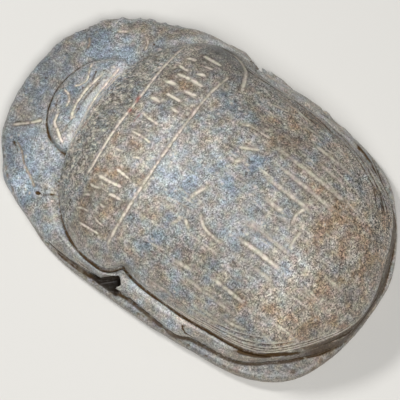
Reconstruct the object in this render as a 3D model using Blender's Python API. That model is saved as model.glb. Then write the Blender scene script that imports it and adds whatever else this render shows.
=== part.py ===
"""Scarab amulet: a beetle with folded legs on a thin oval plate, carved from one block of stone.

The beetle looks along -Y, its left side is +X, and the flat underside lies on z = 0. Sizes are in
metres, written in millimetres times MM. A swing is a direction round the beetle, in degrees from the
front: 0 is the front, 90 the left side, -90 the right side and 180 the rear.
"""

import math

import bmesh
import bpy
from mathutils import Matrix, Vector

MM = 0.001

# Driving dimensions of the whole amulet
LENGTH = 66.6 * MM
WIDTH = 44.8 * MM
HEIGHT = 24.6 * MM

# Directions, in degrees, at which the rings have their points
COARSE_STEP = 2.6
FINE_STEP = 1.3
FINE_START = 83.2
FINE_END = 109.2
HEAD_STEPS = 72

# Swings at which the beetle's left side changes as it is followed to the rear. The right side's
# legs were cut a few degrees further forward
RIGHT_LEGS_AHEAD = 6.0
SHELF_END = 54.0
SIDE_START = 80.0
FRONT_LEG_END = 92.0
BRIDGE_START = 97.8
BRIDGE_END = 105.0
HIND_KNEE = 126.0
HIND_LEG_BULGE = 142.5
HIND_LEG_BULGE_REACH = 10.0
REAR_WALL_START = 148.0
REAR_WALL_END = 163.0

# Plate: the thin oval that the beetle lies on
PLATE_MIDDLE_Y = -3.5 * MM
PLATE_TOP = 3.6 * MM
PLATE_FRONT_POWER = 2.35
PLATE_REAR_POWER = 2.9
# Where the hand-cut outline swells or is chipped: swing, reach in degrees, and how far it moves out
PLATE_UNEVENNESS = (
    (147.0, 20.0, 1.45 * MM),
    (52.0, 10.0, -0.4 * MM),
    (36.0, 7.0, 0.5 * MM),
    (22.0, 7.0, 0.3 * MM),
    (-21.0, 7.0, -0.4 * MM),
    (-52.0, 22.0, -0.65 * MM),
    (-78.0, 9.0, 0.4 * MM),
    (-88.0, 4.5, -1.2 * MM),
    (-109.0, 10.0, -0.5 * MM),
    (-118.0, 4.0, 0.4 * MM),
    (-159.0, 16.0, -1.3 * MM),
)

# Legs: one band on each side between the plate and the back, and a low shelf round the head
LEG_TOP = 8.6 * MM
SHELF_TOP = 6.4 * MM
GROOVE_DEPTH = 1.6 * MM
GROOVE_GAP = 0.1 * MM
# The seam between the legs and the back's rim, which opens wider behind the pronotum
SEAM_GAP = 0.3 * MM
SEAM_OPENING = 0.25 * MM
SEAM_DEPTH = 0.8 * MM
SEAM_OPENING_SWING = 92.0
SEAM_OPENING_REACH = 9.0
# Small steps that round the edges of the legs' side, and how far the hind leg bulges
EDGE_STEP = 0.1 * MM
FOOT_STEP = 0.15 * MM
HIND_LEG_SWELL = 0.9 * MM
# The rear wall: how far the legs' top drops as the wall takes over, how much the wall leans out for
# each unit of height, and how much of the plate it leaves
REAR_DROP = 3.0 * MM
REAR_LEAN = 0.16
REAR_LEDGE = 0.35 * MM

# Back: the pronotum in front and the wing cases behind, one dome over both. The two sides were cut
# by eye: the right one, in the second place of each pair, is narrower and its notch is shallower
RIM_HEIGHT = 9.5 * MM
PRONOTUM_HALF_WIDTHS = (20.3 * MM, 19.8 * MM)
PRONOTUM_MIDDLE_Y = -6.0 * MM
PRONOTUM_FRONT = 14.7 * MM
PRONOTUM_REARS = (6.6 * MM, 5.6 * MM)
PRONOTUM_FRONT_POWER = 2.05
WINGS_HALF_WIDTHS = (18.95 * MM, 18.9 * MM)
WINGS_MIDDLE_Y = 6.0 * MM
WINGS_FRONTS = (14.3 * MM, 19.0 * MM)
WINGS_REAR = 26.2 * MM
WINGS_REAR_POWERS = (2.45, 2.5)
# Where the rim swells or was cut back: swing, reach in degrees, and how far it moves out
RIM_UNEVENNESS = (
    (147.0, 13.0, 1.0 * MM),
    (174.5, 11.0, 0.65 * MM),
    (-167.0, 12.0, -0.8 * MM),
)
WAIST_POWER = 3.0
UNDERCUT_DEPTH = 0.95 * MM
CROWN_Y = 4.0 * MM
DOME_POWER = 2.2
DOME_FRONT_ROUNDNESS = 1.35
DOME_SIDE_ROUNDNESS = 1.55
DOME_SHARES = (0.985, 0.95, 0.9, 0.83, 0.74, 0.63, 0.51, 0.38, 0.25, 0.12)

# Head: a low half oval in front of the pronotum
HEAD_HALF_WIDTH = 8.5 * MM
HEAD_MIDDLE_Y = -20.5 * MM
HEAD_FRONT = 6.7 * MM
HEAD_REAR = 5.0 * MM
HEAD_FRONT_HEIGHT = 7.2 * MM
HEAD_BACK_HEIGHT = 9.6 * MM

# Pocket between the front leg and the middle leg, on each side: a short slot, open above, that
# runs inwards and back from the groove
POCKET_LENGTH = 5.0 * MM
POCKET_WIDTH = 1.9 * MM
POCKET_HEIGHT = 5.0 * MM
POCKET_END_X = 19.7 * MM
POCKET_END_Y = -1.0 * MM
RIGHT_POCKET_AHEAD = 2.2 * MM
POCKET_TURN = -45.0


def smooth_step(value, start, end):
    """Rise from 0 at start to 1 at end without a kink."""
    share = min(max((value - start) / (end - start), 0.0), 1.0)
    return share * share * (3.0 - 2.0 * share)


def mix(first, second, share):
    return first + (second - first) * share


def bump(swing, middle, half_width):
    """A rounded hump of height 1 at the middle swing, falling to 0 half_width degrees away."""
    turn = abs(swing - middle) % 360.0
    reach = min(min(turn, 360.0 - turn) / half_width, 1.0)
    return (1.0 - reach * reach) ** 2


def swings(steps):
    """Even directions of one ring, from the front round by the left side."""
    for step in range(steps):
        swing = 360.0 * step / steps
        yield swing if swing <= 180.0 else swing - 360.0


def beetle_swings():
    """The directions of the beetle's rings, twice as close together beside the notch and pocket."""
    half = []
    swing = 0.0
    while swing < 180.0 - COARSE_STEP / 2:
        half.append(swing)
        swing += FINE_STEP if FINE_START <= swing < FINE_END else COARSE_STEP
    return half + [180.0] + [-swing for swing in reversed(half[1:])]


def ring_point(swing, radius, height, middle_y):
    turn = math.radians(swing)
    return Vector((radius * math.sin(turn), middle_y - radius * math.cos(turn), height))


def oval_radius(swing, half_width, front, rear, front_power, rear_power):
    """Distance from an oval's middle to its edge."""
    across = abs(math.sin(math.radians(swing)))
    along = math.cos(math.radians(swing))
    length = front if along > 0 else rear
    power = front_power if along > 0 else rear_power
    total = (across / half_width) ** power + (abs(along) / length) ** power
    return total ** (-1.0 / power)


def plate_oval(swing):
    """The plate's outline before its unevenness."""
    front = LENGTH / 2 + PLATE_MIDDLE_Y
    rear = LENGTH / 2 - PLATE_MIDDLE_Y
    return oval_radius(swing, WIDTH / 2, front, rear, PLATE_FRONT_POWER, PLATE_REAR_POWER)


def plate_edge(swing):
    """The plate's outline, with its swellings and chips."""
    radius = plate_oval(swing)
    for middle, half_width, rise in PLATE_UNEVENNESS:
        radius += rise * bump(swing, middle, half_width)
    return radius


def level_in_oval(x, y, half_width, middle_y, front, rear, power):
    """0 at an oval's middle and 1 on its edge."""
    length = front if y < middle_y else rear
    return (abs(x) / half_width) ** power + (abs(y - middle_y) / length) ** power


def inside_back(x, y):
    """Whether a place lies inside the pronotum's oval or the wing cases' oval."""
    side = 0 if x > 0 else 1
    pronotum_power = PRONOTUM_FRONT_POWER if y < PRONOTUM_MIDDLE_Y else WAIST_POWER
    pronotum = level_in_oval(x, y, PRONOTUM_HALF_WIDTHS[side], PRONOTUM_MIDDLE_Y,
                             PRONOTUM_FRONT, PRONOTUM_REARS[side], pronotum_power)
    wings_power = WAIST_POWER if y < WINGS_MIDDLE_Y else WINGS_REAR_POWERS[side]
    wings = level_in_oval(x, y, WINGS_HALF_WIDTHS[side], WINGS_MIDDLE_Y,
                          WINGS_FRONTS[side], WINGS_REAR, wings_power)
    return min(pronotum, wings) < 1.0


def back_edge(swing):
    """The back's outline as seen from the plate's middle: both ovals, with a notch between them, and
    the rim's unevenness."""
    inner = 0.0
    outer = LENGTH
    for _ in range(30):
        radius = (inner + outer) / 2
        point = ring_point(swing, radius, 0.0, PLATE_MIDDLE_Y)
        if inside_back(point.x, point.y):
            inner = radius
        else:
            outer = radius
    for middle, half_width, rise in RIM_UNEVENNESS:
        inner += rise * bump(swing, middle, half_width)
    return inner


def smoothed_back_edge(swing):
    """The back's outline with the notch evened out over the swings on either side of it."""
    spread = [-16.0 + 4.0 * step for step in range(9)]
    return sum(back_edge(swing + turn) for turn in spread) / len(spread)


def leg_swing(swing):
    """The swing at which the left side's legs look as they do here, from 0 to 180 and a bit over."""
    return swing if swing > 0 else RIGHT_LEGS_AHEAD - swing


def groove_share(swing):
    """How deep the groove between the plate and the legs is cut, from 0 to 1. It starts behind the
    shelf, and a bridge of stone stops it where the middle leg begins."""
    offset = leg_swing(swing)
    start = smooth_step(offset, SHELF_END, SHELF_END + 16.0)
    bridge = smooth_step(offset, BRIDGE_START, BRIDGE_START + 1.5)
    bridge *= 1.0 - smooth_step(offset, BRIDGE_END - 2.0, BRIDGE_END)
    return start * (1.0 - bridge)


def groove_height(swing):
    """The groove is a thin wedge under the front leg, another under the middle leg, and runs level
    under the hind leg."""
    offset = leg_swing(swing)
    front_wedge = mix(0.2, 2.1, smooth_step(offset, SHELF_END + 2.0, FRONT_LEG_END))
    middle_wedge = mix(1.6, 0.7, smooth_step(offset, BRIDGE_END, HIND_KNEE))
    height = mix(front_wedge, middle_wedge, smooth_step(offset, BRIDGE_START + 1.0, BRIDGE_END))
    return mix(height, 0.9, smooth_step(offset, HIND_KNEE, HIND_KNEE + 4.0)) * MM


def foot_radius(swing):
    """Where the foot of the legs stands. The legs part from the plate's edge towards the pocket and
    behind the middle leg's knee, and the hind leg runs out under the wing cases."""
    offset = leg_swing(swing)
    front_leg = mix(0.35, 1.25, smooth_step(offset, SHELF_END, FRONT_LEG_END))
    middle_leg = mix(1.5, 0.7, smooth_step(offset, BRIDGE_END, HIND_KNEE))
    hind_leg = mix(1.5, 1.9, smooth_step(offset, HIND_KNEE + 4.0, REAR_WALL_START))
    inset = mix(front_leg, middle_leg, smooth_step(offset, BRIDGE_START, BRIDGE_START + 4.0))
    inset = mix(inset, hind_leg, smooth_step(offset, HIND_KNEE - 1.5, HIND_KNEE + 2.5))
    swell = HIND_LEG_SWELL * bump(offset, HIND_LEG_BULGE, HIND_LEG_BULGE_REACH)
    return min(plate_oval(swing) - inset * MM + swell, plate_edge(swing) - GROOVE_GAP)


def side_share(swing):
    """0 at the flat shelf in front and 1 where the legs stand up along the sides."""
    return smooth_step(leg_swing(swing), 35.0, SIDE_START)


def rear_share(swing):
    """0 along the legs and 1 at the wall that drops from the rim to the plate at the rear."""
    return smooth_step(leg_swing(swing), REAR_WALL_START, REAR_WALL_END)


def seam_share(swing):
    """How deep the seam between the legs and the back's rim is cut, from 0 to 1."""
    return side_share(swing) * (1.0 - rear_share(swing))


def rear_wall(swing, height):
    """How far out the rear wall stands at a height. It leans out from the rim towards the plate."""
    leaning = back_edge(swing) + REAR_LEAN * (RIM_HEIGHT - height)
    return min(leaning, plate_edge(swing) - REAR_LEDGE)


def plate_profile(swing):
    """The plate's worn side, lowest first, as distances from the middle and heights."""
    edge = plate_edge(swing)
    top_inset = mix(0.25, 0.6, groove_share(swing) * (1.0 - rear_share(swing))) * MM
    return [
        (edge - 0.9 * MM, 0.0),
        (edge - 0.2 * MM, 0.6 * MM),
        (edge, 1.6 * MM),
        (edge - 0.1 * MM, 2.8 * MM),
        (edge - top_inset, PLATE_TOP),
    ]


def leg_profile(swing):
    """The groove over the plate, the legs as a band that flattens to a shelf at the front, and the
    seam between them and the rim."""
    side = side_share(swing)
    rear = rear_share(swing)
    back = back_edge(swing)
    foot = foot_radius(swing)
    groove_floor = foot - GROOVE_DEPTH * groove_share(swing)
    foot_height = PLATE_TOP + groove_height(swing)
    top_height = mix(SHELF_TOP, LEG_TOP, side) - REAR_DROP * rear
    shoulder = mix(mix(foot, back, 0.4), foot - EDGE_STEP, side)
    shoulder_height = mix(foot_height, top_height, mix(0.6, 0.4, side))
    seam_gap = SEAM_GAP + SEAM_OPENING * bump(abs(swing), SEAM_OPENING_SWING, SEAM_OPENING_REACH)
    seam_edge = back + seam_gap
    seam_floor = mix(top_height + EDGE_STEP, top_height - SEAM_DEPTH, seam_share(swing))
    profile = [
        (groove_floor, PLATE_TOP + GROOVE_GAP),
        (groove_floor, foot_height),
        (foot, foot_height + FOOT_STEP),
        (shoulder, shoulder_height),
        (mix(shoulder, seam_edge, 0.6), top_height - 2 * FOOT_STEP * rear),
        (seam_edge, top_height - EDGE_STEP),
        (seam_edge - EDGE_STEP, seam_floor),
        (back - FOOT_STEP, seam_floor + EDGE_STEP),
    ]
    return [(mix(radius, rear_wall(swing, height), rear), height) for radius, height in profile]


def rim_profile(swing):
    """The fine groove under the back's rim, which fades out at the front, and the rim."""
    back = back_edge(swing)
    undercut = UNDERCUT_DEPTH * smooth_step(abs(swing), 60.0, 95.0)
    lip_bottom = RIM_HEIGHT - mix(0.45 * MM, 1.0 * MM, seam_share(swing))
    below_lip = mix(back - undercut - 2 * EDGE_STEP, rear_wall(swing, lip_bottom), rear_share(swing))
    return [
        (below_lip, lip_bottom),
        (back - EDGE_STEP, RIM_HEIGHT - 2 * EDGE_STEP),
        (back, RIM_HEIGHT + 4 * EDGE_STEP),
    ]


def loft(name, rings):
    """Build one closed solid from rings of points, lowest ring first."""
    builder = bmesh.new()
    loops = [[builder.verts.new(point) for point in ring] for ring in rings]
    for lower, upper in zip(loops, loops[1:]):
        for step in range(len(lower)):
            builder.faces.new((lower[step - 1], lower[step], upper[step], upper[step - 1]))
    ends = [builder.faces.new(loops[0]), builder.faces.new(loops[-1])]
    bmesh.ops.poke(builder, faces=ends)
    bmesh.ops.recalc_face_normals(builder, faces=builder.faces)
    mesh = bpy.data.meshes.new(name)
    builder.to_mesh(mesh)
    builder.free()
    solid = bpy.data.objects.new(name, mesh)
    bpy.context.scene.collection.objects.link(solid)
    return solid


def make_beetle():
    """The plate, the legs and the domed back as one solid, in rings from the underside up."""
    rings = []
    for profile in (plate_profile, leg_profile, rim_profile):
        sections = [profile(swing) for swing in beetle_swings()]
        for level in zip(*sections):
            rings.append([ring_point(swing, radius, height, PLATE_MIDDLE_Y)
                          for swing, (radius, height) in zip(beetle_swings(), level)])
    crown = Vector((0.0, CROWN_Y, rings[-1][0].z))
    for share in DOME_SHARES:
        ring = []
        notch_share = smooth_step(share, 0.92, 1.0)
        for swing in beetle_swings():
            radius = mix(smoothed_back_edge(swing), back_edge(swing), notch_share)
            towards_side = smooth_step(abs(swing), 30.0, SIDE_START)
            roundness = mix(DOME_FRONT_ROUNDNESS, DOME_SIDE_ROUNDNESS, towards_side)
            lift = (HEIGHT - crown.z) * (1.0 - share ** DOME_POWER) ** (1.0 / roundness)
            point = crown.lerp(ring_point(swing, radius, crown.z, PLATE_MIDDLE_Y), share)
            ring.append(point + Vector((0.0, 0.0, lift)))
        rings.append(ring)
    return loft("scarab", rings)


def make_head():
    """A half oval that rises gently from its front edge to the pronotum."""
    profile = ((0.0, -3.0), (0.0, -0.4), (0.35, 0.2), (1.3, 0.6), (3.0, 0.9), (5.0, 1.0))
    rings = []
    for inset, lift in profile:
        ring = []
        for swing in swings(HEAD_STEPS):
            radius = oval_radius(swing, HEAD_HALF_WIDTH, HEAD_FRONT, HEAD_REAR, 2.0, 2.0)
            radius *= 1.0 - inset * MM / HEAD_FRONT
            point = ring_point(swing, radius, lift * MM, HEAD_MIDDLE_Y)
            back_share = min((point.y - HEAD_MIDDLE_Y) / HEAD_FRONT + 1.0, 1.0)
            point.z += mix(HEAD_FRONT_HEIGHT, HEAD_BACK_HEIGHT, back_share)
            ring.append(point)
        rings.append(ring)
    return loft("head", rings)


def make_pocket(name, side):
    """A cutter for the pocket on one side, 1 for the left or -1 for the right."""
    builder = bmesh.new()
    bmesh.ops.create_cube(builder, size=1.0)
    bmesh.ops.translate(builder, vec=(0.5, 0.0, 0.5), verts=builder.verts)
    bmesh.ops.scale(builder, vec=(POCKET_LENGTH, POCKET_WIDTH, POCKET_HEIGHT), verts=builder.verts)
    turn = Matrix.Rotation(math.radians(POCKET_TURN), 3, "Z")
    bmesh.ops.rotate(builder, matrix=turn, verts=builder.verts)
    end = (POCKET_END_X, POCKET_END_Y, PLATE_TOP - 0.15 * MM)
    bmesh.ops.translate(builder, vec=end, verts=builder.verts)
    if side < 0:
        bmesh.ops.translate(builder, vec=(0.0, -RIGHT_POCKET_AHEAD, 0.0), verts=builder.verts)
        bmesh.ops.scale(builder, vec=(-1.0, 1.0, 1.0), verts=builder.verts)
        bmesh.ops.reverse_faces(builder, faces=builder.faces)
    mesh = bpy.data.meshes.new(name)
    builder.to_mesh(mesh)
    builder.free()
    pocket = bpy.data.objects.new(name, mesh)
    bpy.context.scene.collection.objects.link(pocket)
    return pocket


def combine(target, other, operation):
    """Join or cut one solid with another, which stays in the file as a hidden guide."""
    other.hide_render = True
    other.display_type = "WIRE"
    step = target.modifiers.new(other.name, "BOOLEAN")
    step.operation = operation
    step.solver = "EXACT"
    step.object = other


def stone_material():
    """Dull grey stone."""
    stone = bpy.data.materials.new("grey_stone")
    stone.use_nodes = True
    shader = stone.node_tree.nodes["Principled BSDF"]
    shader.inputs["Base Color"].default_value = (0.30, 0.28, 0.25, 1.0)
    shader.inputs["Roughness"].default_value = 0.7
    shader.inputs["Metallic"].default_value = 0.0
    return stone


for leftover in list(bpy.data.objects):
    bpy.data.objects.remove(leftover)

scarab = make_beetle()
combine(scarab, make_head(), "UNION")
combine(scarab, make_pocket("pocket_left", 1), "DIFFERENCE")
combine(scarab, make_pocket("pocket_right", -1), "DIFFERENCE")
scarab.data.materials.append(stone_material())
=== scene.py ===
import math
import random

import bmesh
import bpy
import numpy as np
from mathutils import Matrix, Vector, noise
from mathutils.bvhtree import BVHTree
from mathutils.kdtree import KDTree


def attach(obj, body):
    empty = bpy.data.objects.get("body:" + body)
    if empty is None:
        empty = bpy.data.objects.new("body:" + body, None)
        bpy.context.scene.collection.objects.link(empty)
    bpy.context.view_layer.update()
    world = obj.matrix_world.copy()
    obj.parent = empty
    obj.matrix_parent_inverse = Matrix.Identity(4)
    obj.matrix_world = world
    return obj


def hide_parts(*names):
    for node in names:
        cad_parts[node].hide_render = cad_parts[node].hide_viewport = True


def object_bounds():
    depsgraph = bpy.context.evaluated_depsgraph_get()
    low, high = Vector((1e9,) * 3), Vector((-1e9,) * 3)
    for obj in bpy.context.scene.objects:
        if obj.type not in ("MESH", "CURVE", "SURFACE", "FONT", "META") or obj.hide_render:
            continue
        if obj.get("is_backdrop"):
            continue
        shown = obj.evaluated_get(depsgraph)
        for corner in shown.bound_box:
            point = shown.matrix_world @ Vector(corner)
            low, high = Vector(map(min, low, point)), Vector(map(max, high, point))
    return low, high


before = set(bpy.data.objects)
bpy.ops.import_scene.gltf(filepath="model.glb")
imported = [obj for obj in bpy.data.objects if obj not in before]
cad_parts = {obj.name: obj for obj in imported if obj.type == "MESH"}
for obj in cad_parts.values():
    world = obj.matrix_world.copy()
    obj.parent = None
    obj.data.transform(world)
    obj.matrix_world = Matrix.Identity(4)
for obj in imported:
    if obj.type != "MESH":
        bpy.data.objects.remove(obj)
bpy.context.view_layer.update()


# ---- The block ----
# The whole amulet is one piece of dull grey stone, ground and rubbed by hand into a beetle that lies
# on an oval plate. It starts as a copy of the frame's solid, closed up, made dense and rubbed smooth.
MM = 0.001
STONE_STEP = 0.16 * MM
BACK_START = 9.9 * MM
BACK_FULL = 11.0 * MM
BACK_LEVELS = 8
BACK_RUBS = 150
EDGE_RUBS = 4
RUB_STRENGTH = 0.5


def smooth_step(value, start, end):
    """Rise from 0 at start to 1 at end without a kink."""
    share = min(max((value - start) / (end - start), 0.0), 1.0)
    return share * share * (3.0 - 2.0 * share)


def settle(piece):
    """Apply a piece's modifiers to its mesh."""
    depsgraph = bpy.context.evaluated_depsgraph_get()
    settled = bpy.data.meshes.new_from_object(piece.evaluated_get(depsgraph))
    piece.modifiers.clear()
    piece.data = settled


def rub(piece, group, times):
    """Wear a group of the piece's points down towards their neighbours."""
    wear = piece.modifiers.new("wear", "SMOOTH")
    wear.vertex_group = group
    wear.factor = RUB_STRENGTH
    wear.iterations = times
    settle(piece)


solid = bmesh.new()
solid.from_mesh(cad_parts["scarab"].data)
bmesh.ops.remove_doubles(solid, verts=solid.verts, dist=0.001 * MM)
scarab = bpy.data.objects.new("carved_scarab", bpy.data.meshes.new("carved_scarab"))
solid.to_mesh(scarab.data)
solid.free()
bpy.context.scene.collection.objects.link(scarab)

dense = scarab.modifiers.new("dense", "REMESH")
dense.mode = "VOXEL"
dense.voxel_size = STONE_STEP
settle(scarab)

# The back is rubbed much more than the rest, and the underside not at all, so it stays flat
back = scarab.vertex_groups.new(name="back")
above_ground = scarab.vertex_groups.new(name="above_ground")
levels = [[] for _ in range(BACK_LEVELS + 1)]
raised = []
for vert in scarab.data.vertices:
    if vert.co.z > STONE_STEP:
        raised.append(vert.index)
        share = smooth_step(vert.co.z, BACK_START, BACK_FULL)
        levels[round(share * BACK_LEVELS)].append(vert.index)
above_ground.add(raised, 1.0, "REPLACE")
for level, indices in enumerate(levels):
    back.add(indices, level / BACK_LEVELS, "REPLACE")
rub(scarab, "back", BACK_RUBS)
rub(scarab, "above_ground", EDGE_RUBS)

# The step round the head is worn down to a soft slope
HEAD_RUBS = 20
HEAD_MIDDLE_Y = -20.5
HEAD_MIDDLE = Vector((0.0, HEAD_MIDDLE_Y)) * MM
HEAD_REACH = Vector((8.5, 6.7)) * MM
STEP_WIDTH = 0.22
STEP_REAR = 1.5 * MM
STEP_FOOT = 5.0 * MM
head_edge = scarab.vertex_groups.new(name="head_edge")
stepped = []
for vert in scarab.data.vertices:
    offset = vert.co.xy - HEAD_MIDDLE
    level = math.hypot(offset.x / HEAD_REACH.x, offset.y / HEAD_REACH.y)
    if abs(level - 1.0) < STEP_WIDTH and offset.y < STEP_REAR and vert.co.z > STEP_FOOT:
        stepped.append(vert.index)
head_edge.add(stepped, 1.0, "REPLACE")
rub(scarab, "head_edge", HEAD_RUBS)


# ---- The cuts ----
# Every line on the beetle is a shallow groove scratched by hand with a point and then worn. Here a
# tool follows each line in small steps, and each touch sinks the stone round it and leaves a mark.
TOUCH_STEP = 0.11 * MM
ABOVE = 40.0 * MM
MIDDLE_Y = -3.5 * MM
HAND_SIZE = 1.3 * MM
CRUMB_SIZE = 0.4 * MM
HAND_UNEVENNESS = 0.5
FADE_START = -0.3 * MM
LIGHTEST_WIDTH = 0.6
HARDEST_WIDTH = 1.1
HARDEST = 1.2
# The next two give the strength and width of the band of painted shade along a worn scratch's edges
EDGE_SHADE = 0.6
EDGE_SHADE_WIDTH = 1.9

stone = bmesh.new()
stone.from_mesh(scarab.data)
MARKS = ("pale", "soil", "rust", "worn")
marks = {name: stone.verts.layers.float.new(name) for name in MARKS}
sink = stone.verts.layers.float.new("sink")
stone.verts.ensure_lookup_table()
stone.normal_update()
surface = BVHTree.FromBMesh(stone)
spots = KDTree(len(stone.verts))
for vert in stone.verts:
    spots.insert(vert.co, vert.index)
spots.balance()


def mix(first, second, share):
    """The value that lies a share of the way from first to second."""
    return first + (second - first) * share


def touch(place, reach, depth, **strengths):
    """One touch of the tool: sink the stone and leave marks, both fading to nothing at reach."""
    for _, index, distance in spots.find_range(place, reach):
        vert = stone.verts[index]
        share = 1.0 - (distance / reach) ** 2
        if abs(depth * share) > abs(vert[sink]):
            vert[sink] = depth * share
        for name, strength in strengths.items():
            vert[marks[name]] = max(vert[marks[name]], strength * share)


def on_top(x, y):
    """The place on the beetle's upper side over a point of its plan, in millimetres."""
    return surface.ray_cast(Vector((x * MM, y * MM, ABOVE)), Vector((0.0, 0.0, -1.0)))[0]


def on_side(swing, height):
    """The place on the beetle's side at a height in millimetres, seen level from a direction."""
    turn = math.radians(swing)
    outward = Vector((math.sin(turn), -math.cos(turn), 0.0))
    start = Vector((0.0, MIDDLE_Y, height * MM)) + outward * ABOVE
    return surface.ray_cast(start, -outward)[0]


def along(points, place_on):
    """Places on the beetle at even steps along a smooth curve through points."""
    points = [Vector(point) for point in points]
    points = [points[0] * 2 - points[1]] + points + [points[-1] * 2 - points[-2]]
    for before, start, end, after in zip(points, points[1:], points[2:], points[3:]):
        steps = max(1, round((place_on(*end) - place_on(*start)).length / TOUCH_STEP))
        for step in range(steps):
            share = step / steps
            point = (start * 2 + (end - before) * share
                     + (before * 2 - start * 5 + end * 4 - after) * share ** 2
                     + (start * 3 - before - end * 3 + after) * share ** 3) / 2
            yield place_on(*point)


def cut(points, width, depth, place_on=on_top, fade=0.4, **strengths):
    """Scratch one line. Width, depth and fade, the length over which its ends thin out, are in
    millimetres."""
    route = [place for place in along(points, place_on) if place is not None]
    for step, place in enumerate(route):
        end_distance = min(step, len(route) - 1 - step) * TOUCH_STEP
        force = smooth_step(end_distance, FADE_START, fade * MM)
        force *= 1.0 + HAND_UNEVENNESS * (noise.noise(place / HAND_SIZE) + noise.noise(place / CRUMB_SIZE))
        reach = width / 2 * mix(LIGHTEST_WIDTH, HARDEST_WIDTH, min(force, HARDEST) / HARDEST) * MM
        worn = {name: strength * force for name, strength in strengths.items()}
        touch(place, reach, depth * force * MM, **worn)


def worn_cut(points, width, depth, pale, fade=0.4):
    """A scratch rubbed pale along its bottom, with a band of painted shade along both edges."""
    cut(points, EDGE_SHADE_WIDTH * width, 0.0, fade=fade, soil=EDGE_SHADE * min(pale, 1.0))
    cut(points, width, depth, fade=fade, pale=pale)


# Two long lines across the pronotum, which frame the row of strokes, and the line round its corner
LINE_WIDTH = 0.56
LINE_DEPTH = 0.2
worn_cut([(17.6, -4.6), (10.0, -4.6), (3.0, -4.8), (-4.0, -4.9), (-9.0, -4.9), (-13.5, -4.5)],
         LINE_WIDTH, LINE_DEPTH, 1.15)
worn_cut([(12.2, -13.3), (7.0, -13.6), (3.0, -13.8), (-4.0, -13.8), (-9.0, -14.0), (-13.8, -14.0),
          (-15.8, -13.9)], LINE_WIDTH, LINE_DEPTH, 1.4, fade=3.0)
worn_cut([(-18.4, -9.0), (-18.3, -6.6), (-17.4, -4.5), (-16.4, -3.3), (-14.6, -2.3), (-12.6, -1.4)],
         0.7, 0.18, 2.0)

# Touches of red earth on the front line and just behind it
for start, end in ((-0.4, -1.2), (-2.2, -3.4)):
    cut([(start, -13.7), (end, -13.9)], 0.9, 0.1, rust=1.0)
cut([(0.9, -11.9), (-1.1, -11.8)], 0.35, 0.1, rust=0.8)

# A row of shallow strokes between the two lines, in place of worn signs. Dice settle where each stroke
# lies, how long it is and how it leans, and no two cross, so they spell nothing
STROKE_WIDTH = 0.5
STROKE_DEPTH = 0.14
STROKE_HALO_WIDTH = 3.0
STROKE_PALENESS = 1.4
RIGHT_BOLDNESS = 1.3
BOLD_FROM = -4.0
ROW_LEFT = 17.2
ROW_RIGHT = -16.4
ROW_FRONT = -12.2
ROW_REAR = -6.3
ROW_HALF = 3.3
SPARSE_LEFT = 10.0
SPARSE_RIGHT = -2.0
strokes = random.Random(11)


def add_stroke(across, start, length):
    """One shallow stroke of the row, which leans and bends a little."""
    boldness = strokes.uniform(0.8, 1.2) * (RIGHT_BOLDNESS if across < BOLD_FROM else 1.0)
    lean = strokes.uniform(-0.45, 0.45)
    bend = strokes.uniform(-0.15, 0.15)
    line = [(across, start), (across + lean / 2 + bend, start + length / 2),
            (across + lean, start + length)]
    width = STROKE_WIDTH * boldness
    # A wide dark halo round the stroke, partly earth and partly painted shade
    cut(line, STROKE_HALO_WIDTH * width, 0.0, fade=0.5, soil=0.45)
    worn_cut(line, width, STROKE_DEPTH * boldness, STROKE_PALENESS * boldness, fade=0.5)


across = ROW_LEFT
while across > ROW_RIGHT:
    if strokes.random() < 0.5:
        length = strokes.uniform(2.6, 4.8)
        add_stroke(across, strokes.uniform(ROW_FRONT, ROW_REAR - length), length)
    else:
        for start in (ROW_FRONT, ROW_FRONT + ROW_HALF):
            add_stroke(across, start + strokes.uniform(0.0, 0.5), strokes.uniform(1.2, 2.4))
    sparse = SPARSE_RIGHT < across < SPARSE_LEFT
    across -= strokes.uniform(2.6, 3.6) if sparse else strokes.uniform(1.5, 2.1)

# Faint lengthwise scratches on the wing cases: how far across each lies, where it starts, and how long
# and how strong it is
WING_SCRATCHES = (
    (15.3, 7.5, 10.5, 0.8), (13.2, 11.0, 7.5, 1.2), (11.3, 14.0, 3.0, 0.5), (8.6, 15.0, 5.0, 0.9),
    (6.5, 11.3, 8.7, 1.3), (3.9, 10.5, 9.5, 0.8), (2.9, 25.0, 4.2, 0.7), (0.4, 14.0, 3.0, 0.6),
    (-0.5, 11.0, 5.0, 1.3), (-3.2, 9.0, 10.0, 0.9), (-5.8, 10.0, 11.0, 1.0), (-8.0, 7.5, 14.5, 1.0),
    (-10.2, 14.0, 6.0, 0.9), (-12.4, 11.8, 8.5, 0.9), (-14.3, 6.6, 7.0, 0.9), (-14.7, 18.0, 3.0, 0.6),
    (-16.4, 2.4, 4.5, 0.8), (-9.0, 20.0, 3.5, 0.5), (17.3, 11.0, 6.0, 0.6), (-16.6, 9.0, 8.0, 0.5),
)
WING_SCRATCH_DEPTH = 0.1
for across, start, length, strength in WING_SCRATCHES:
    lean = 0.3 * noise.noise(Vector((across, start, 1.5)))
    worn_cut([(across, start), (across + lean, start + length / 2), (across + 1.5 * lean, start + length)],
             0.8, WING_SCRATCH_DEPTH, 0.82 * strength, fade=2.0)

# Four wider ones run along the left side
SIDE_STREAKS = (
    ((16.6, 15.0), (16.3, 18.0), (15.6, 20.6)), ((18.0, 10.5), (17.7, 14.1), (17.1, 17.4)),
    ((18.1, 2.7), (18.0, 5.4), (18.0, 8.0)), ((14.3, 4.5), (14.0, 7.9), (14.1, 9.5)),
)
for streak in SIDE_STREAKS:
    worn_cut(streak, 0.9, WING_SCRATCH_DEPTH, 0.72, fade=2.0)

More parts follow.
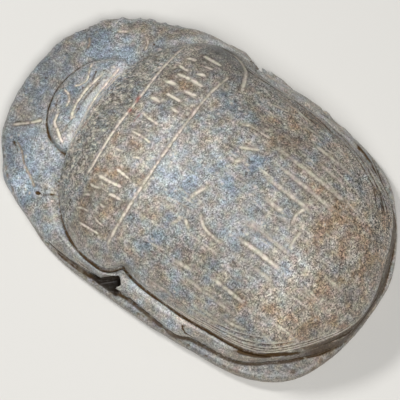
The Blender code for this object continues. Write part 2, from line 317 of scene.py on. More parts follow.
# Many finer ones were left by rubbing the wing cases and the pronotum lengthwise with grit
FINE_BEHIND = 90
FINE_IN_FRONT = 60
rubbing = random.Random(3)
for _ in range(FINE_BEHIND):
    across, start = rubbing.uniform(-16.5, 16.5), rubbing.uniform(-2.0, 25.0)
    lean = rubbing.uniform(-0.5, 0.5) - across * 0.02
    cut([(across, start), (across + lean, start + rubbing.uniform(1.5, 6.0))],
        0.34, 0.04, fade=1.0, pale=rubbing.uniform(0.2, 0.75))
for _ in range(FINE_IN_FRONT):
    across, start = rubbing.uniform(-15.0, 17.0), rubbing.uniform(-19.0, -6.0)
    cut([(across, start), (across + rubbing.uniform(-0.6, 0.6), start + rubbing.uniform(1.0, 3.0))],
        0.32, 0.04, fade=0.8, pale=rubbing.uniform(0.2, 0.8))

# The right flank was rubbed level instead, and its scratches are pale and dark by turns
FLANK_SCRATCHES = 50
for number in range(FLANK_SCRATCHES):
    swing, height = rubbing.uniform(-155.0, -75.0), rubbing.uniform(12.0, 17.5)
    streak = [(swing, height), (swing - rubbing.uniform(3.0, 12.0), height + rubbing.uniform(-0.5, 0.5))]
    if number % 2:
        cut(streak, 0.4, -0.03, on_side, fade=1.0, pale=rubbing.uniform(0.4, 1.0))
    else:
        cut(streak, 0.45, 0.08, on_side, fade=1.0, soil=rubbing.uniform(0.4, 0.8))

# Odd nicks and scratches that cross them
NICKS = (
    ((5.9, 2.4), (4.6, 2.9), (3.1, 3.6)), ((10.3, 2.4), (8.6, 3.2)), ((9.7, 4.9), (8.7, 3.5)),
    ((6.9, 5.0), (8.2, 6.6), (8.6, 8.6), (8.6, 10.4)), ((-4.5, 3.8), (-5.4, 5.4), (-6.2, 6.7)),
    ((-2.2, 4.5), (-2.9, 5.2), (-3.4, 5.9)), ((-7.7, 1.7), (-8.6, 3.2)), ((-9.1, 4.6), (-9.9, 6.3)),
    ((-14.1, 3.4), (-14.4, 4.9), (-14.7, 6.1)), ((3.2, 18.6), (1.6, 18.5), (0.2, 18.6)),
    ((-13.9, 0.0), (-14.5, 1.1)), ((0.2, 16.9), (-1.6, 16.6), (-3.2, 17.2)),
)
for nick in NICKS:
    worn_cut(nick, 0.6, 0.12, 0.95, fade=0.5)


# ---- The head and the shelf ----
# The head is a low half oval, and round it the front legs and the head's shield run together in one
# flat shelf. Both carry curved lines cut by hand, and the shelf has two small holes.
# Each line is given with its width and how strongly it shows
HEAD_LINES = (
    (((7.9, -20.6), (7.5, -21.5), (6.6, -22.8), (5.9, -23.9), (5.1, -24.2), (4.0, -24.4)), 0.85, 1.5),
    (((2.7, -23.9), (1.6, -24.2), (0.85, -25.0), (0.5, -26.2)), 0.75, 1.5),
    (((-0.8, -25.0), (-1.4, -24.3), (-2.5, -23.9), (-3.6, -24.3), (-4.7, -24.8), (-5.6, -25.1)), 0.7, 1.3),
    (((4.2, -21.9), (3.1, -22.4), (1.6, -22.8), (0.1, -22.9), (-1.7, -22.9), (-4.7, -22.3)), 0.8, 1.4),
    (((8.2, -19.2), (4.1, -20.1), (-0.4, -20.8), (-3.6, -20.8), (-7.0, -20.7)), 0.7, 1.0),
    (((5.2, -19.5), (1.2, -20.3), (-2.8, -20.2), (-6.0, -20.0)), 0.6, 1.1),
    (((9.0, -18.8), (5.4, -18.9), (1.8, -19.2), (-1.5, -19.6)), 0.6, 1.0),
    (((9.2, -30.0), (8.3, -28.9), (7.1, -27.4), (6.0, -26.4)), 0.9, 1.3),
    (((11.0, -27.8), (12.0, -26.1), (13.4, -24.5), (14.6, -22.3), (15.5, -20.8)), 0.8, 0.5),
    (((-7.7, -27.8), (-8.6, -28.1), (-9.5, -28.8)), 0.7, 0.7),
    (((-12.8, -25.6), (-13.8, -24.1)), 0.8, 0.9),
    (((-12.5, -19.9), (-13.9, -20.4), (-14.5, -21.3)), 0.8, 1.1),
)
for line, width, strength in HEAD_LINES:
    worn_cut(line, 0.62 * width, 0.13 + 0.05 * strength, 1.05 * strength)

# Between them are darker lines that kept their earth
DARK_LINES = (
    ((6.6, -21.9), (3.4, -21.9), (0.0, -22.2), (-4.0, -21.9)), ((3.6, -25.4), (2.4, -25.9), (1.4, -25.6)),
    ((-0.6, -23.8), (-2.6, -23.2), (-4.8, -23.6)), ((11.3, -28.3), (12.3, -26.6)),
    ((8.9, -29.9), (8.0, -28.9)), ((16.0, -19.2), (15.4, -18.2), (14.6, -17.3)),
)
for line in DARK_LINES:
    cut(line, 0.6, 0.1, soil=0.45)

# The step between the head and the pronotum is painted pale in a wide band, a painted highlight where
# its edge catches the light, and a fine line runs round the head
ARC_HALF_WIDTH = 8.8
ARC_FRONT = 7.0
cut([(9.0, -19.2), (4.6, -20.2), (0.0, -20.9), (-4.0, -20.8), (-8.0, -20.3)], 2.6, 0.0, fade=2.0, worn=1.2)
turns = [math.radians(degrees) for degrees in range(-75, 81, 5)]
cut([(math.sin(turn) * ARC_HALF_WIDTH, HEAD_MIDDLE_Y - math.cos(turn) * ARC_FRONT) for turn in turns],
    0.5, 0.05, fade=3.0, soil=0.2)

HOLE_DEPTH = 0.5
for start, end, width in (((16.1, -20.1), (15.9, -19.4), 0.7), ((-14.1, -19.3), (-14.15, -19.2), 0.45)):
    cut([start, end], width, HOLE_DEPTH, soil=1.6)


# ---- The legs ----
# Folded legs in low relief run along both sides. A short line marks the hind leg's knee, a longer
# one parts the front leg from the plate, and a faint one runs along the front leg. The numbers after
# each line are its width, its depth and how dark it is, partly earth and partly painted shade.
RIGHT_LEGS_SHIFT = -2.2
LEG_LINES = (
    (((20.1, 11.2, 8.2), (20.4, 11.4, 7.4), (20.7, 12.4, 6.2), (20.8, 13.8, 4.9)), 0.5, 0.22, 0.8),
    (((21.6, -13.0, 3.5), (21.9, -11.0, 3.5), (22.0, -9.0, 3.5), (22.0, -7.2, 3.5), (21.8, -5.2, 3.6)),
     0.7, 0.2, 1.0),
    (((21.2, -8.0, 6.6), (21.4, -5.6, 6.5), (21.3, -3.6, 6.5), (20.9, -2.2, 6.5)), 0.5, 0.1, 0.3),
)


def nearest(x, y, z):
    """The place on the stone nearest to a point, in millimetres."""
    return surface.find_nearest(Vector((x, y, z)) * MM)[0]


for side, shift in ((1.0, 0.0), (-1.0, RIGHT_LEGS_SHIFT)):
    for line, width, depth, earth_and_shade in LEG_LINES:
        cut([(side * x, y + shift, z) for x, y, z in line], width, depth, nearest, 0.8, soil=earth_and_shade)

# The hind leg runs out under the rim, and dark earth fills the seam that opens above it
SEAM_END = ((141, 8.5), (146, 8.3), (150, 8.0), (153, 7.7), (156, 7.2), (159, 6.6))
RIGHT_LEGS_AHEAD = 6.0
for side, ahead in ((1.0, 0.0), (-1.0, RIGHT_LEGS_AHEAD)):
    cut([(side * (swing - ahead), height) for swing, height in SEAM_END],
        1.2, 0.0, on_side, fade=2.0, soil=1.6)

# The wall behind the legs was only roughed out, and chisel marks run along it
CHISEL_MARKS = 60
chisel = random.Random(5)
for number in range(CHISEL_MARKS):
    swing, height = chisel.uniform(152.0, 208.0), chisel.uniform(4.2, 8.8)
    mark_line = [(swing, height), (swing + chisel.uniform(3.0, 14.0), height + chisel.uniform(-0.3, 0.3))]
    if number % 3:
        cut(mark_line, 0.5, 0.12, on_side, fade=1.0, soil=0.6)
    else:
        cut(mark_line, 0.45, -0.06, on_side, fade=1.0, pale=chisel.uniform(0.15, 0.4))


# ---- The edges ----
# The rims of the wing cases have fine lines cut along them. The plate's edge and the ledges are
# chipped, small bites broken out long ago and worn dull since.
# Each rim line is a dark groove with a pale ridge above it: its height, where it runs, and its strength
RIM_LINES = (
    (10.2, 104, 174, 0.9), (10.9, 118, 172, 0.8), (11.6, 124, 168, 0.7), (12.5, 130, 160, 0.6),
    (13.6, 134, 154, 0.4), (10.4, -96, -165, 0.6), (11.3, -110, -150, 0.4),
)
RIM_LINE_STEPS = 12
RIDGE_ABOVE = 0.35
for height, start, end, strength in RIM_LINES:
    swings = [mix(start, end, step / RIM_LINE_STEPS) for step in range(RIM_LINE_STEPS + 1)]
    cut([(swing, height - RIDGE_ABOVE) for swing in swings],
        0.5, 0.1, on_side, fade=3.0, soil=0.8 * strength)
    cut([(swing, height) for swing in swings], 0.4, -0.03, on_side, fade=3.0, pale=1.3 * strength)

# Two more lines run along the right flank, darkened partly with earth and partly with painted shadow
# in the seam, and below the first a band of painted light is laid on the stone
UPPER_FLANK_LINE = (
    (-84, 15.4), (-95, 16.0), (-106, 15.0), (-119, 14.8), (-133, 15.4), (-146, 14.8), (-156, 13.6),
)
LOWER_FLANK_LINE = ((-128, 14.0), (-140, 13.8), (-147, 13.3), (-154, 12.8), (-161, 11.7))
PALE_BELOW = 1.0
cut([(swing, height - PALE_BELOW) for swing, height in UPPER_FLANK_LINE],
    1.6, 0.0, on_side, fade=3.0, worn=1.0)
cut(UPPER_FLANK_LINE, 0.5, 0.16, on_side, fade=4.0, soil=0.85)
cut(LOWER_FLANK_LINE, 0.5, 0.15, on_side, fade=3.0, soil=0.9)

# Small nicks all round the plate's edge, larger towards the front on the right
dice = random.Random(7)
for swing in range(-180, 180, 3):
    direction = swing + dice.uniform(-1.4, 1.4)
    front = smooth_step(-abs(direction + 35.0), -110.0, -30.0)
    size = dice.uniform(0.4, 1.0) * mix(0.7, 1.25, front) * MM
    place = on_side(direction, dice.uniform(2.9, 3.7))
    touch(place, size, size * dice.uniform(0.2, 0.5), pale=0.3)

# The right edge of the plate is bitten deeper than the rest: where each bite is, its height and size
BITES = (
    (-37.0, 3.2, 1.6), (-46.0, 3.2, 1.3), (-56.0, 3.0, 1.8), (-66.0, 3.2, 1.2), (-77.0, 3.1, 1.4),
    (-84.0, 3.2, 2.0), (-90.0, 3.0, 1.6), (-109.0, 3.2, 1.8), (-116.0, 3.2, 2.0), (-124.0, 3.1, 1.4),
    (-132.0, 3.1, 1.6),
)
BITE_DEPTH = 0.4
for swing, height, size in BITES:
    touch(on_side(swing, height), size * MM, BITE_DEPTH * size * MM, pale=0.5)

# The upper side is peppered with pale flecks, where grains have been bruised, and tiny pits. The legs
# have none, and the shelf has fewer
FLECKS = 2000
LEGS_BELOW = 9.6 * MM
SHELF_REAR = -12.0 * MM
SHELF_SPARED = 0.6
for number in range(FLECKS):
    place = on_top(dice.uniform(-20.0, 20.0), dice.uniform(-32.0, 31.0))
    size = dice.uniform(0.16, 0.34) * MM
    keep = dice.uniform(0.0, 1.0)
    if place is None or (place.z < LEGS_BELOW and (place.y > SHELF_REAR or keep < SHELF_SPARED)):
        continue
    if number % 2:
        touch(place, size, -0.02 * MM, pale=dice.uniform(0.3, 1.0))
    else:
        touch(place, size, 0.05 * MM, soil=dice.uniform(0.2, 0.6))

# The slope in front of the lines was worked with a finer point, and its scratches are very short
SLOPE_SCRATCHES = 420
for number in range(SLOPE_SCRATCHES):
    across, start = dice.uniform(-14.0, 15.0), dice.uniform(-19.6, -14.5)
    lean = dice.uniform(-0.3, 0.3)
    if number % 2:
        scratch = [(across, start), (across + lean, start + dice.uniform(0.2, 0.7))]
        cut(scratch, 0.3, 0.05, fade=0.2, pale=1.1)
    else:
        scratch = [(across, start), (across + lean, start + dice.uniform(0.2, 0.8))]
        cut(scratch, 0.34, 0.06, fade=0.2, soil=0.5)


# ---- The surface ----
# Up close the stone is gritty, with low dips left by grinding, and every groove is darkened, partly
# by old earth and partly by painted shade.
# The underside is ground flat and stays so. The finished stone is thinned out where it is plain.
GRIT_SIZE = 0.45 * MM
GRIT_HEIGHT = 0.02 * MM
DIP_SIZE = 3.2 * MM
DIP_DEPTH = 0.09 * MM
MOST_TRIANGLES = 195000
PLAIN = 0.43
PACKED_REACH = 0.7
PACKED_HEIGHT = 0.3 * MM

for vert in stone.verts:
    if vert.co.z > STONE_STEP:
        share = smooth_step(vert.co.z, STONE_STEP, 1.0 * MM)
        lift = GRIT_HEIGHT * noise.noise(vert.co / GRIT_SIZE)
        lift += DIP_DEPTH * noise.noise(vert.co / DIP_SIZE)
        vert.co += vert.normal * (lift * share - vert[sink])
stone.verts.layers.float.remove(sink)
stone.to_mesh(scarab.data)
stone.free()

mesh = scarab.data
count = len(mesh.vertices)
places = np.empty(count * 3)
mesh.vertices.foreach_get("co", places)
places = places.reshape(-1, 3)
facing = np.empty(count * 3)
mesh.vertices.foreach_get("normal", facing)
facing = facing.reshape(-1, 3)
pairs = np.empty(len(mesh.edges) * 2, dtype=int)
mesh.edges.foreach_get("vertices", pairs)
pairs = np.concatenate((pairs.reshape(-1, 2), pairs.reshape(-1, 2)[:, ::-1]))
neighbours = np.bincount(pairs[:, 0], minlength=count)


def evened(values, times):
    """Each point's values averaged over its neighbours, as many times as asked."""
    for _ in range(times):
        sums = [np.bincount(pairs[:, 0], column[pairs[:, 1]], count) for column in values.T]
        values = np.stack(sums, axis=1) / neighbours[:, None]
    return values


def rise(values, start, end):
    """smooth_step for a whole array."""
    share = np.clip((values - start) / (end - start), 0.0, 1.0)
    return share * share * (3.0 - 2.0 * share)


def patches(spots_on_plan):
    """Soft patches on the beetle's plan: across, along, reach in millimetres, and strength."""
    total = np.zeros(count)
    for across, along_plan, reach, strength in spots_on_plan:
        offsets = places[:, :2] - np.array((across, along_plan)) * MM
        total += strength * np.exp(-(offsets ** 2).sum(axis=1) / (reach * MM) ** 2)
    return total


def add_mark(name, values):
    """Add to a value kept for each point of the mesh, which the stone's material reads."""
    attribute = mesh.attributes.get(name) or mesh.attributes.new(name, "FLOAT", "POINT")
    kept = np.zeros(count, dtype=np.float32)
    attribute.data.foreach_get("value", kept)
    attribute.data.foreach_set("value", (kept + values).astype(np.float32))


# How far each point lies below the stone round it, and which parts of the beetle it belongs to
DENT_REACH = 8
dent = ((evened(places, DENT_REACH) - places) * facing).sum(axis=1) / MM
x_mm, y_mm, z_mm = places.T / MM
swing = np.degrees(np.arctan2(x_mm, MIDDLE_Y / MM - y_mm))
in_pocket = np.zeros(count)
for side, shift in ((1.0, 0.0), (-1.0, RIGHT_LEGS_SHIFT)):
    inside = rise(side * x_mm, 18.6, 19.2) * (1.0 - rise(side * x_mm, 21.6, 21.9))
    deep = inside * (1.0 - rise(z_mm, 5.8, 6.4))
    beside = rise(y_mm - shift, -6.0, -4.6) * (1.0 - rise(y_mm - shift, -0.6, -0.2))
    in_pocket = np.maximum(in_pocket, deep * beside * rise(z_mm, 3.0, 3.4))
under_rim = rise(z_mm, 3.4, 3.9) * (1.0 - rise(z_mm, 8.9, 9.5)) * (1.0 - rise(facing[:, 2], 0.35, 0.6))
rear = rise(np.where(swing > 0.0, swing, RIGHT_LEGS_AHEAD - swing), 151.0, 164.0)
on_legs = 1.0 - rise(z_mm, 9.0, 9.6)
on_back = 1.0 - on_legs

# The angle between the plate and the wall of the legs is filled in a little, and further down it is
# darkened, partly as packed earth and partly as painted shade
NO_WALL = 9.0
SPINE_HALF = 10.0 * MM
WALL_HEIGHT = 6.0 * MM
WALL_REACH = 4.0 * MM
wall_gap = np.full(count, NO_WALL)
beside_wall = (z_mm > 2.9) & (z_mm < 4.3) & (facing[:, 2] > 0.5) & (np.abs(swing) > 35.0)
for index in np.flatnonzero(beside_wall):
    x, y, _ = places[index]
    inward = Vector((-x, min(max(y, -SPINE_HALF), SPINE_HALF) - y, 0.0)).normalized()
    wall = surface.ray_cast(Vector((x, y, WALL_HEIGHT)), inward, WALL_REACH)
    if wall[0] is not None:
        wall_gap[index] = wall[3] / MM
angle_fill = np.clip(1.0 - wall_gap / PACKED_REACH, 0.0, 1.0)
places[:, 2] += PACKED_HEIGHT * angle_fill ** 2
mesh.vertices.foreach_set("co", places.ravel())

# Earth and painted shade darken the dents, the rear wall under the rim, the pockets and the angle,
# and what stands out is rubbed pale
earth_and_shade_in_dents = rise(dent, 0.02, 0.075) * (0.25 + 0.75 * on_legs)
earth_and_shade = earth_and_shade_in_dents + 0.68 * under_rim * rear + in_pocket + rise(angle_fill, 0.0, 0.5) * 0.9
add_mark("soil", np.clip(earth_and_shade, 0.0, 1.0))
add_mark("worn", rise(-dent, 0.015, 0.06))

# Wide patches where the clean stone is bluer, where earth has stained it brown, and where it is olive
behind_head = np.exp(-((y_mm + 20.2) / 1.3) ** 2) * (1.0 - rise(np.abs(x_mm), 8.0, 11.0))
on_shelf = (1.0 - rise(y_mm, -22.0, -15.0)) * on_legs
add_mark("blue", 0.42 * on_shelf + 0.3 * behind_head + patches((
    (4.0, 3.0, 7.0, 0.2), (5.0, 13.0, 6.0, 0.25), (3.0, 22.0, 4.0, 0.25), (0.0, -22.0, 5.0, 0.4),
    (10.2, -27.3, 2.5, 0.8), (15.2, -25.6, 3.0, 0.9), (13.4, -21.5, 2.5, 0.6), (18.0, -20.0, 3.0, 0.6),
    (-8.9, -26.3, 2.4, 1.4), (-11.0, -22.6, 2.0, 1.1), (5.0, -2.0, 4.0, 0.6), (0.9, 5.8, 1.7, 1.2),
    (-4.2, 7.6, 1.4, 1.4), (-0.9, 9.2, 1.0, 1.0), (6.3, 20.4, 1.8, 0.9), (4.3, 1.7, 1.8, 0.9),
    (-2.0, 15.6, 1.6, 0.6), (-14.9, 12.6, 1.8, 0.8), (-9.1, 1.6, 1.4, 0.7), (1.0, -29.5, 4.0, 0.4),
    (3.0, -22.3, 1.5, 0.5), (-11.3, 21.8, 1.6, 0.7), (15.5, 7.0, 1.5, 0.7), (12.5, 2.0, 1.8, 0.6),
    (20.5, 6.0, 4.0, 0.6), (20.0, 14.0, 4.0, 0.5), (17.5, 24.0, 4.0, 0.5), (-3.8, 25.7, 1.2, 0.8),
    (6.0, 12.5, 2.0, 0.4), (9.5, -24.6, 1.8, 0.7), (8.5, 18.5, 1.3, 0.5),
)))
on_plate_edge = (1.0 - rise(z_mm, 2.6, 3.3)) * rise(np.abs(swing), 40.0, 70.0)
brown_on_back = patches((
    (-4.0, 27.0, 4.0, 0.5), (-18.0, 8.0, 5.0, 0.4), (-9.0, -10.0, 3.0, 0.2), (-4.0, 24.0, 5.0, 0.6),
    (-8.0, 16.0, 4.0, 0.3), (12.0, 11.0, 3.0, 0.3), (-9.0, 8.0, 3.0, 0.1), (15.0, -9.0, 3.5, 0.9),
    (7.5, -9.5, 4.0, 0.8), (-8.5, -9.0, 3.0, 0.7), (-14.5, -11.0, 3.0, 0.6), (-9.5, 4.5, 2.5, 0.5),
    (14.0, 17.0, 1.5, 0.9), (9.0, 24.0, 4.0, 0.5), (-12.5, 9.0, 3.0, 0.7), (11.8, 21.6, 1.0, 1.0),
    (-6.0, 21.5, 2.0, 0.8), (-0.5, 20.5, 2.0, 0.6), (7.0, 25.5, 1.2, 0.8), (-17.0, 8.0, 4.0, 0.5),
    (-16.0, 15.0, 4.0, 0.4), (-12.0, 28.0, 3.0, 0.4), (15.0, 25.0, 2.0, 0.6),
))
brown_at_edges = patches((
    (-20.5, 8.0, 6.0, 0.6), (19.5, 6.0, 4.0, 0.6), (19.0, 13.0, 3.0, 1.0), (18.5, 20.0, 3.0, 0.8),
    (6.5, -30.5, 2.0, 0.7), (0.5, -28.2, 2.0, 0.6), (-3.5, -27.8, 2.0, 0.5), (8.3, -29.0, 1.2, 1.0),
    (-14.5, -27.0, 3.0, 0.6), (-17.0, -22.0, 3.0, 0.5), (17.0, 29.0, 3.0, 0.4),
))
brown = rear * under_rim + 0.8 * on_plate_edge + 0.7 * on_back * rise(y_mm, 12.0, 28.0)
brown = brown + on_back * brown_on_back + 0.5 * rise(y_mm, 18.0, 24.0) * (1.0 - on_back) + brown_at_edges
add_mark("brown", brown)
slope_in_front = rise(-y_mm, 12.0, 15.5) * (1.0 - rise(-y_mm, 17.8, 19.4)) * on_back
add_mark("olive", slope_in_front + 0.5 * on_plate_edge + on_back * patches((
    (17.5, -11.5, 3.0, 0.9), (-16.5, -8.0, 4.0, 0.9), (-15.0, 2.0, 4.0, 0.6), (-16.0, 16.0, 5.0, 0.4),
    (2.0, -19.0, 5.0, 0.4), (-10.0, -17.0, 5.0, 0.5), (4.0, 30.0, 4.0, 0.4),
)))

# Lightness as a share, partly the stone's own lighter and darker patches and partly painted light and
# shade: painted shade in the pockets, under the rear rim, on the strip inside the right flank and on
# the left ledge of the plate, painted light on the right ledge, a painted highlight on the step behind
# the head, darker at the front rim, and wide patches on the back and legs that mix tone with painted
# light and shade
front_rim = rise(-y_mm, 25.5, 29.0)
on_plate = (1.0 - rise(z_mm, 3.5, 4.2)) * rise(np.abs(swing), 40.0, 70.0)
on_plate = on_plate * np.where(x_mm > 0.0, -0.2, 0.15)
right_flank = rise(-x_mm, 15.5, 16.8) * (1.0 - rise(-x_mm, 18.6, 19.4)) * on_back
shade_on_back = patches((
    (-9.5, -9.5, 3.5, -0.08), (-14.0, -10.5, 3.0, -0.15), (-13.0, 6.0, 6.0, -0.1), (6.0, 26.0, 6.0, 0.1),
    (-3.0, 24.0, 4.0, 0.08), (-18.5, -9.0, 4.0, -0.4), (-14.5, -4.0, 2.5, -0.25), (13.0, -11.5, 2.5, -0.3),
    (16.0, -10.0, 2.0, -0.15), (4.0, -8.5, 5.0, 0.15), (9.0, -9.5, 3.0, 0.15), (-2.0, -6.0, 2.0, 0.12),
    (4.0, -1.0, 3.5, 0.2), (9.0, -2.0, 3.0, 0.15), (-2.0, 1.0, 1.6, 0.25), (10.5, 21.5, 3.0, 0.25),
    (4.5, 21.5, 4.0, 0.25), (13.0, 24.0, 2.0, 0.3), (-9.5, 9.5, 2.5, -0.3), (-10.5, 4.5, 2.5, -0.1),
    (3.0, 10.5, 3.0, -0.15), (8.5, 11.5, 2.5, -0.12), (-13.0, -2.0, 2.5, -0.2), (-10.0, -5.0, 2.0, -0.1),
    (16.5, 23.0, 2.5, -0.25), (10.0, 28.5, 2.0, -0.25), (-12.0, 25.0, 3.0, -0.2), (-14.5, 28.0, 2.0, -0.2),
    (-15.0, 12.0, 2.0, -0.1),
))
shade_on_legs = patches((
    (19.5, 2.0, 3.0, 0.3), (19.5, 8.0, 3.0, 0.3), (19.5, 13.0, 2.5, 0.15), (16.0, -23.0, 2.0, 0.35),
    (13.5, -26.5, 1.5, -0.25), (10.0, -21.0, 3.0, 0.2), (-8.5, -21.0, 2.0, 0.2), (-17.5, -20.0, 4.0, -0.2),
    (18.5, 17.5, 3.0, 0.15), (17.5, 22.0, 3.0, 0.12), (-15.0, -15.0, 4.0, -0.25), (0.0, -30.0, 5.0, -0.08),
    (4.0, -28.5, 4.0, -0.12), (0.0, -23.0, 4.5, 0.1), (9.0, -27.0, 4.0, -0.08),
))
shade = 0.5 * behind_head - 0.3 * front_rim + on_plate - 0.3 * right_flank - 0.6 * in_pocket
shade = shade - 0.38 * rear * under_rim + on_back * shade_on_back
add_mark("shade", shade + on_legs * rise(z_mm, 3.6, 4.4) * shade_on_legs)

# The grain's lightness swings wider where the back falls away in front and on the right, painted
# grazing light on the grain of those slopes, and a little more towards the rear than on the crown
steep = rise(1.0 - facing[:, 2], 0.06, 0.5)
falls_away = steep * np.maximum(rise(-y_mm, 11.0, 14.0), rise(-x_mm, 3.0, 10.0))
add_mark("grain_and_grazing_light", 0.8 + 0.6 * falls_away * on_back + 0.14 * rise(y_mm, 15.0, 25.0) * on_back)

# Only plain stone is thinned. A point whose strongest mark is below PLAIN counts as plain, and each
# face is four-cornered and so makes two triangles
carved = np.zeros(count, dtype=np.float32)
kept = np.zeros(count, dtype=np.float32)
for name in MARKS:
    mesh.attributes[name].data.foreach_get("value", kept)
    carved = np.maximum(carved, kept)
plain = scarab.vertex_groups.new(name="plain")
plain.add(np.flatnonzero(carved < PLAIN).tolist(), 1.0, "REPLACE")
thin = scarab.modifiers.new("thin", "DECIMATE")
thin.vertex_group = "plain"
thin.ratio = MOST_TRIANGLES / (2 * len(mesh.polygons))
settle(scarab)
scarab.data.shade_smooth()


# ---- The stone ----
# Dull grey stone, a fine-grained greywacke or steatite, handled and buried for a long time. It is
# bluish where it is clean, brown where earth has stained it, and pale where it is scratched.
def colour(hex_code):
    """An sRGB hex colour turned to the linear values that a shader works in."""
    values = [int(hex_code[start:start + 2], 16) / 255 for start in (1, 3, 5)]
    return [v / 12.92 if v <= 0.04045 else ((v + 0.055) / 1.055) ** 2.4 for v in values] + [1.0]


def per(size):
    """How often a pattern repeats in a metre, for details of one size in millimetres."""
    return 1.0 / (size * MM)


greywacke = bpy.data.materials.new("worn_grey_stone")
greywacke.use_nodes = True
tree = greywacke.node_tree
shader = tree.nodes["Principled BSDF"]


def add_node(kind, inputs, **settings):
    """Add a node with its settings, and set or link its inputs."""
    node = tree.nodes.new(kind)
    for name, value in settings.items():
        setattr(node, name, value)
    for socket, value in inputs.items():
        if isinstance(value, bpy.types.NodeSocket):
            tree.links.new(value, node.inputs[socket])
        else:
            node.inputs[socket].default_value = value
    return node


# The grains' own space is a little drawn out upwards, and the space of the rubbing marks along the back
stone_space = add_node("ShaderNodeTexCoord", {}).outputs["Object"]
SPACES = (("grains", (1.0, 1.0, 0.5)), ("rubbed", (1.0, 0.16, 0.6)))
drawn_out = {name: add_node("ShaderNodeVectorMath", {0: stone_space, 1: stretch},
                            operation="MULTIPLY").outputs["Vector"]
             for name, stretch in SPACES}
mark = {name: add_node("ShaderNodeAttribute", {}, attribute_name=name).outputs["Fac"]
        for name in ("pale", "soil", "rust", "worn", "blue", "brown", "olive", "shade", "grain_and_grazing_light")}

# Patterns: the space each lies in, the size of its details in millimetres, how many finer layers it
# has, and how strong they are
PATTERNS = (
    ("grit", "grains", 0.24, 2.0, 0.7),
    ("mottle", "grains", 0.8, 3.0, 0.65),
    ("tint", "grains", 2.0, 1.5, 0.5),
    ("cloud", "grains", 2.8, 2.0, 0.55),
    ("blotch", "grains", 0.7, 3.0, 0.65),
    ("hue", "grains", 1.1, 2.0, 0.6),
    ("streak", "rubbed", 0.35, 2.0, 0.6),
)
pattern = {name: add_node("ShaderNodeTexNoise", {"Vector": drawn_out[space], "Scale": per(size),
                                                 "Detail": detail, "Roughness": roughness}).outputs["Fac"]
           for name, space, size, detail, roughness in PATTERNS}

# Crystals in such stone are a tenth of a millimetre across or less. They and the grit are drawn
# coarser, so that they show
CRYSTAL_SIZE = 0.17
crystals = add_node("ShaderNodeTexVoronoi", {"Vector": drawn_out["grains"], "Scale": per(CRYSTAL_SIZE)})
crystals = crystals.outputs["Color"]
crystals = add_node("ShaderNodeSeparateColor", {"Color": crystals}).outputs["Red"]

# Warmth: the stone runs from slate blue through grey to tan and brown, in patches about two
# millimetres across, and the wide stains push it one way or the other
warmth = add_node("ShaderNodeMapRange", {"Value": pattern["tint"], "From Min": 0.18, "From Max": 0.82})
warmth = warmth.outputs["Result"]
for name, push in (("brown", 0.3), ("blue", -0.35)):
    warmth = add_node("ShaderNodeMath", {0: mark[name], 1: push, 2: warmth}, operation="MULTIPLY_ADD",
                      use_clamp=True).outputs["Value"]
ramp = add_node("ShaderNodeValToRGB", {"Fac": warmth})
WARMTH_COLOURS = ((0.0, "#7f8a94"), (0.25, "#8b9092"), (0.45, "#92918d"), (0.6, "#958f86"),
                  (0.8, "#968b7d"), (1.0, "#917d68"))
stops = ramp.color_ramp.elements
for position, _ in WARMTH_COLOURS[1:-1]:
    stops.new(position)
for stop, (position, hex_code) in zip(stops, WARMTH_COLOURS):
    stop.position = position
    stop.color = colour(hex_code)
stone_colour = ramp.outputs["Color"]

# Lightness: every crystal has its own, and it drifts over the wider patterns too. For each, its values,
# the range they run over, how far they move the lightness, and how strong the grain is there, raised
# on the steep slopes as painted grazing light
LIGHTNESS = (
    (crystals, 0.0, 1.0, 0.7, mark["grain_and_grazing_light"]),
    (pattern["grit"], 0.3, 0.7, 0.58, mark["grain_and_grazing_light"]),
    (pattern["streak"], 0.3, 0.7, 0.24, 1.0),
    (pattern["mottle"], 0.3, 0.7, 0.2, 1.0),
    (pattern["cloud"], 0.3, 0.7, 0.24, 1.0),
)

# What stains the stone or lies on it: each layer's mark, colour and strength, and the pattern that
# breaks it up, with its range. The first soaks in, so the crystals show through it; the rest lie over.
# The soil layer is earth and painted shade together, and the worn layer also carries painted light
# behind the head and below the right flank's upper line
LAYERS = (
    ("olive", "#5f5f57", 0.6, "mottle", 0.2, 0.65),
    ("worn", "#bcbdbb", 0.5, "grit", 0.2, 0.65),
    ("soil", "#46300e", 0.98, "blotch", 0.1, 0.45),
    ("pale", "#d8cfbf", 0.92, "blotch", 0.22, 0.56),
    ("rust", "#8f4a40", 0.8, "grit", 0.3, 0.5),
)
for name, hex_code, strength, break_up, low, high in LAYERS:
    cover = add_node("ShaderNodeMapRange", {"Value": pattern[break_up], "From Min": low,
                                            "From Max": high, "To Max": strength})
    share = add_node("ShaderNodeMath", {0: mark[name], 1: cover.outputs["Result"]},
                     operation="MULTIPLY", use_clamp=True)
    layer = add_node("ShaderNodeMix", {0: share.outputs["Value"], 6: stone_colour,
                                       7: colour(hex_code)}, data_type="RGBA")
    stone_colour = layer.outputs[2]
    if name == "olive":
        for values, lowest, highest, most, grain_and_grazing_light in LIGHTNESS:
            change = add_node("ShaderNodeMapRange", {"Value": values, "From Min": lowest,
                                                     "From Max": highest, "To Min": -most,
                                                     "To Max": most})
            lightness = add_node("ShaderNodeMath", {0: change.outputs["Result"], 1: grain_and_grazing_light, 2: 1.0},
                                 operation="MULTIPLY_ADD")
            stone_colour = add_node("ShaderNodeVectorMath", {0: stone_colour,
                                                             "Scale": lightness.outputs["Value"]},
                                    operation="SCALE").outputs["Vector"]

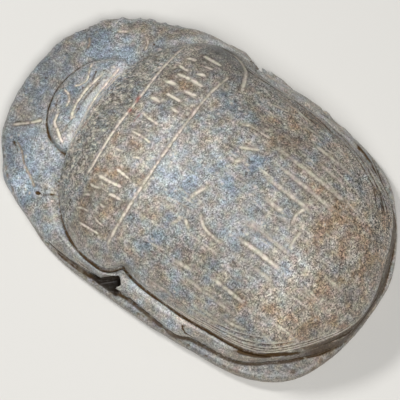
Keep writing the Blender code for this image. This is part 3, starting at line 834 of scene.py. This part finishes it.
# The whole is a little mauve in places and greenish in others, and lighter or darker in wide patches,
# partly its own tone and partly painted light and shade
green = add_node("ShaderNodeMapRange", {"Value": pattern["hue"], "From Min": 0.3, "From Max": 0.7,
                                        "To Min": 0.93, "To Max": 1.07}).outputs["Result"]
green = add_node("ShaderNodeCombineXYZ", {"X": 1.0, "Y": green, "Z": 1.0}).outputs["Vector"]
stone_colour = add_node("ShaderNodeVectorMath", {0: stone_colour, 1: green}, operation="MULTIPLY")
shade = add_node("ShaderNodeMath", {0: mark["shade"], 1: 1.0}, operation="ADD").outputs["Value"]
stone_colour = add_node("ShaderNodeVectorMath", {0: stone_colour.outputs["Vector"], "Scale": shade},
                        operation="SCALE")
tree.links.new(stone_colour.outputs["Vector"], shader.inputs["Base Color"])

# Earth is dull and the rubbed stone has a faint polish, over low bumps and fine pits
dullness = add_node("ShaderNodeMapRange", {"Value": mark["soil"], "To Min": 0.46, "To Max": 0.95})
tree.links.new(dullness.outputs["Result"], shader.inputs["Roughness"])
shader.inputs["Specular IOR Level"].default_value = 0.35
shader.inputs["Coat Weight"].default_value = 0.25
shader.inputs["Coat Roughness"].default_value = 0.35
rough = add_node("ShaderNodeBump", {"Height": pattern["mottle"], "Distance": 0.1 * MM, "Strength": 0.6})
pits = add_node("ShaderNodeBump", {"Height": pattern["grit"], "Distance": 0.08 * MM, "Strength": 0.7,
                                   "Normal": rough.outputs["Normal"]})
tree.links.new(pits.outputs["Normal"], shader.inputs["Normal"])

scarab.data.materials.append(greywacke)
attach(scarab, "root")
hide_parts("scarab")


# ---- The studio ----
# A plain floor of pale matt paper, a small key lamp high over the beetle's head, a broad soft lamp
# beside the camera, and a faint even light all round. The camera looks steeply down from the
# beetle's rear left.
FLOOR_HALF = 2.0
floor = bpy.data.objects.new("floor", bpy.data.meshes.new("floor"))
sheet = bmesh.new()
bmesh.ops.create_grid(sheet, x_segments=1, y_segments=1, size=FLOOR_HALF)
sheet.to_mesh(floor.data)
sheet.free()
paper = bpy.data.materials.new("matt_paper")
paper.use_nodes = True
paper_shader = paper.node_tree.nodes["Principled BSDF"]
paper_shader.inputs["Base Color"].default_value = colour("#d9d7d2")
paper_shader.inputs["Roughness"].default_value = 0.9
floor.data.materials.append(paper)
bpy.context.scene.collection.objects.link(floor)
floor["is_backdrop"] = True

# The camera's direction is its swing round the beetle and its rise above the floor
target = Vector((2.58, 1.82, 9.0)) * MM
VIEW_SWING = math.radians(126.0)
VIEW_RISE = math.radians(77.0)
VIEW_DISTANCE = 350.0 * MM
VIEW_WIDTH = 62.0 * MM
SENSOR_WIDTH = 36.0
towards_camera = Vector((math.sin(VIEW_SWING) * math.cos(VIEW_RISE),
                         -math.cos(VIEW_SWING) * math.cos(VIEW_RISE), math.sin(VIEW_RISE)))
image_right = Vector((math.cos(VIEW_SWING), math.sin(VIEW_SWING), 0.0))
image_up = towards_camera.cross(image_right)


def aim(lamp, place):
    """Put a lamp in its place, shining on the beetle."""
    turn = (place - target).to_track_quat("Z", "Y")
    lamp.matrix_world = Matrix.Translation(place) @ turn.to_matrix().to_4x4()
    bpy.context.scene.collection.objects.link(lamp)


camera = bpy.data.objects.new("camera", bpy.data.cameras.new("camera"))
camera.data.sensor_width = SENSOR_WIDTH
camera.data.lens = SENSOR_WIDTH * VIEW_DISTANCE / VIEW_WIDTH
camera.data.clip_start = 10.0 * MM
turn = Matrix((image_right, image_up, towards_camera)).transposed().to_4x4()
camera.matrix_world = Matrix.Translation(target + towards_camera * VIEW_DISTANCE) @ turn
bpy.context.scene.collection.objects.link(camera)
bpy.context.scene.camera = camera

# Each lamp's direction, its distance and width in millimetres, and its power in watts
LAMPS = (
    ("key", towards_camera * 0.73 - image_right * 0.44 + image_up * 0.52, 400.0, 70.0, 0.8),
    ("broad", towards_camera + image_right * 0.1 - image_up * 0.15, 450.0, 240.0, 1.5),
)
for name, direction, distance, size, power in LAMPS:
    lamp = bpy.data.objects.new(name, bpy.data.lights.new(name, "AREA"))
    lamp.data.shape = "DISK"
    lamp.data.size = size * MM
    lamp.data.energy = power
    aim(lamp, target + direction.normalized() * distance * MM)

world = bpy.data.worlds.new("studio_air")
world.use_nodes = True
world.node_tree.nodes["Background"].inputs["Color"].default_value = colour("#e4e6ea")
world.node_tree.nodes["Background"].inputs["Strength"].default_value = 0.13
bpy.context.scene.world = world
bpy.context.scene.view_settings.view_transform = "Standard"

low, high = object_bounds()
